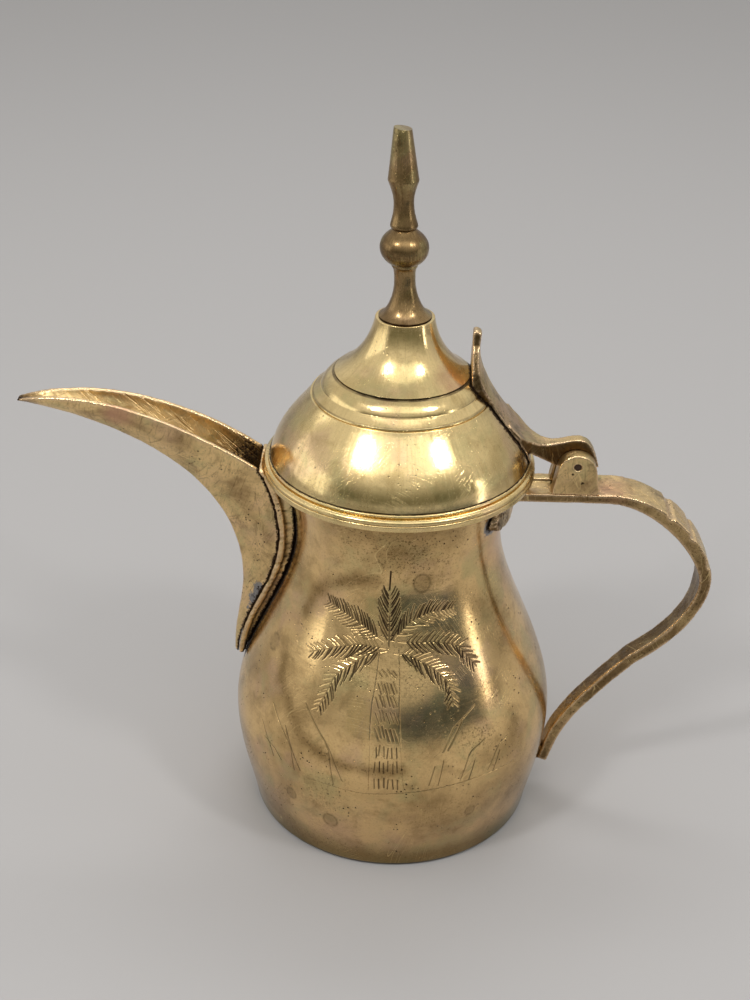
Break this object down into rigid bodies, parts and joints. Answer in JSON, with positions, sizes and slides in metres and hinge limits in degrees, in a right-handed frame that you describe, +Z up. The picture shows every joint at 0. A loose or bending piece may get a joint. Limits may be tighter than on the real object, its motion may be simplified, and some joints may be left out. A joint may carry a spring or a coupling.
{
  "type": "dallah coffee pot",
  "caption": "Brass Arabic coffee pot with a round belly, crescent spout, strap handle and a hinged domed lid with a tall finial.",
  "frame": {"origin": "centre of the bottom plate, on the pot's axis, on the surface it stands on", "axes": "+Z up along the pot's axis, +X towards the handle, -X towards the spout, +Y across the pot along the hinge pin"},
  "size_m": [0.2355, 0.1128, 0.2478],
  "materials": {
    "spun_brass": "aged, spun, warm brown brass with stains and fine turning marks",
    "lid_brass": "polished spun brass with light patina",
    "turned_brass": "bright turned brass with fine rings",
    "cast_brass": "filed sand-cast brass with pits and dark seams",
    "pin_steel": "dark rusty steel"
  },
  "bodies": {
    "pot": {"body_belly": "spun_brass", "body_neck": "spun_brass", "base_disc": "spun_brass", "mouth_rim": "turned_brass", "spout": "cast_brass", "spout_flange": "cast_brass", "neck_saddle": "cast_brass", "handle": "cast_brass", "hinge_ear_front": "cast_brass", "hinge_ear_back": "cast_brass", "hinge_pin": "pin_steel"},
    "lid": {"lid_rim": "turned_brass", "lid_skirt": "lid_brass", "lid_dome": "lid_brass", "lid_shoulder": "lid_brass", "lid_bell": "lid_brass", "finial": "turned_brass", "finial_stud": "turned_brass", "finial_nut": "turned_brass", "lid_lever": "cast_brass"}
  },
  "joints": [
    {"name": "lid_hinge", "type": "hinge", "parent": "pot", "child": "lid", "pos_m": [0.0592, 0, 0.1368], "axis": [0, 1, 0], "range_deg": [0, 160]}
  ]
}
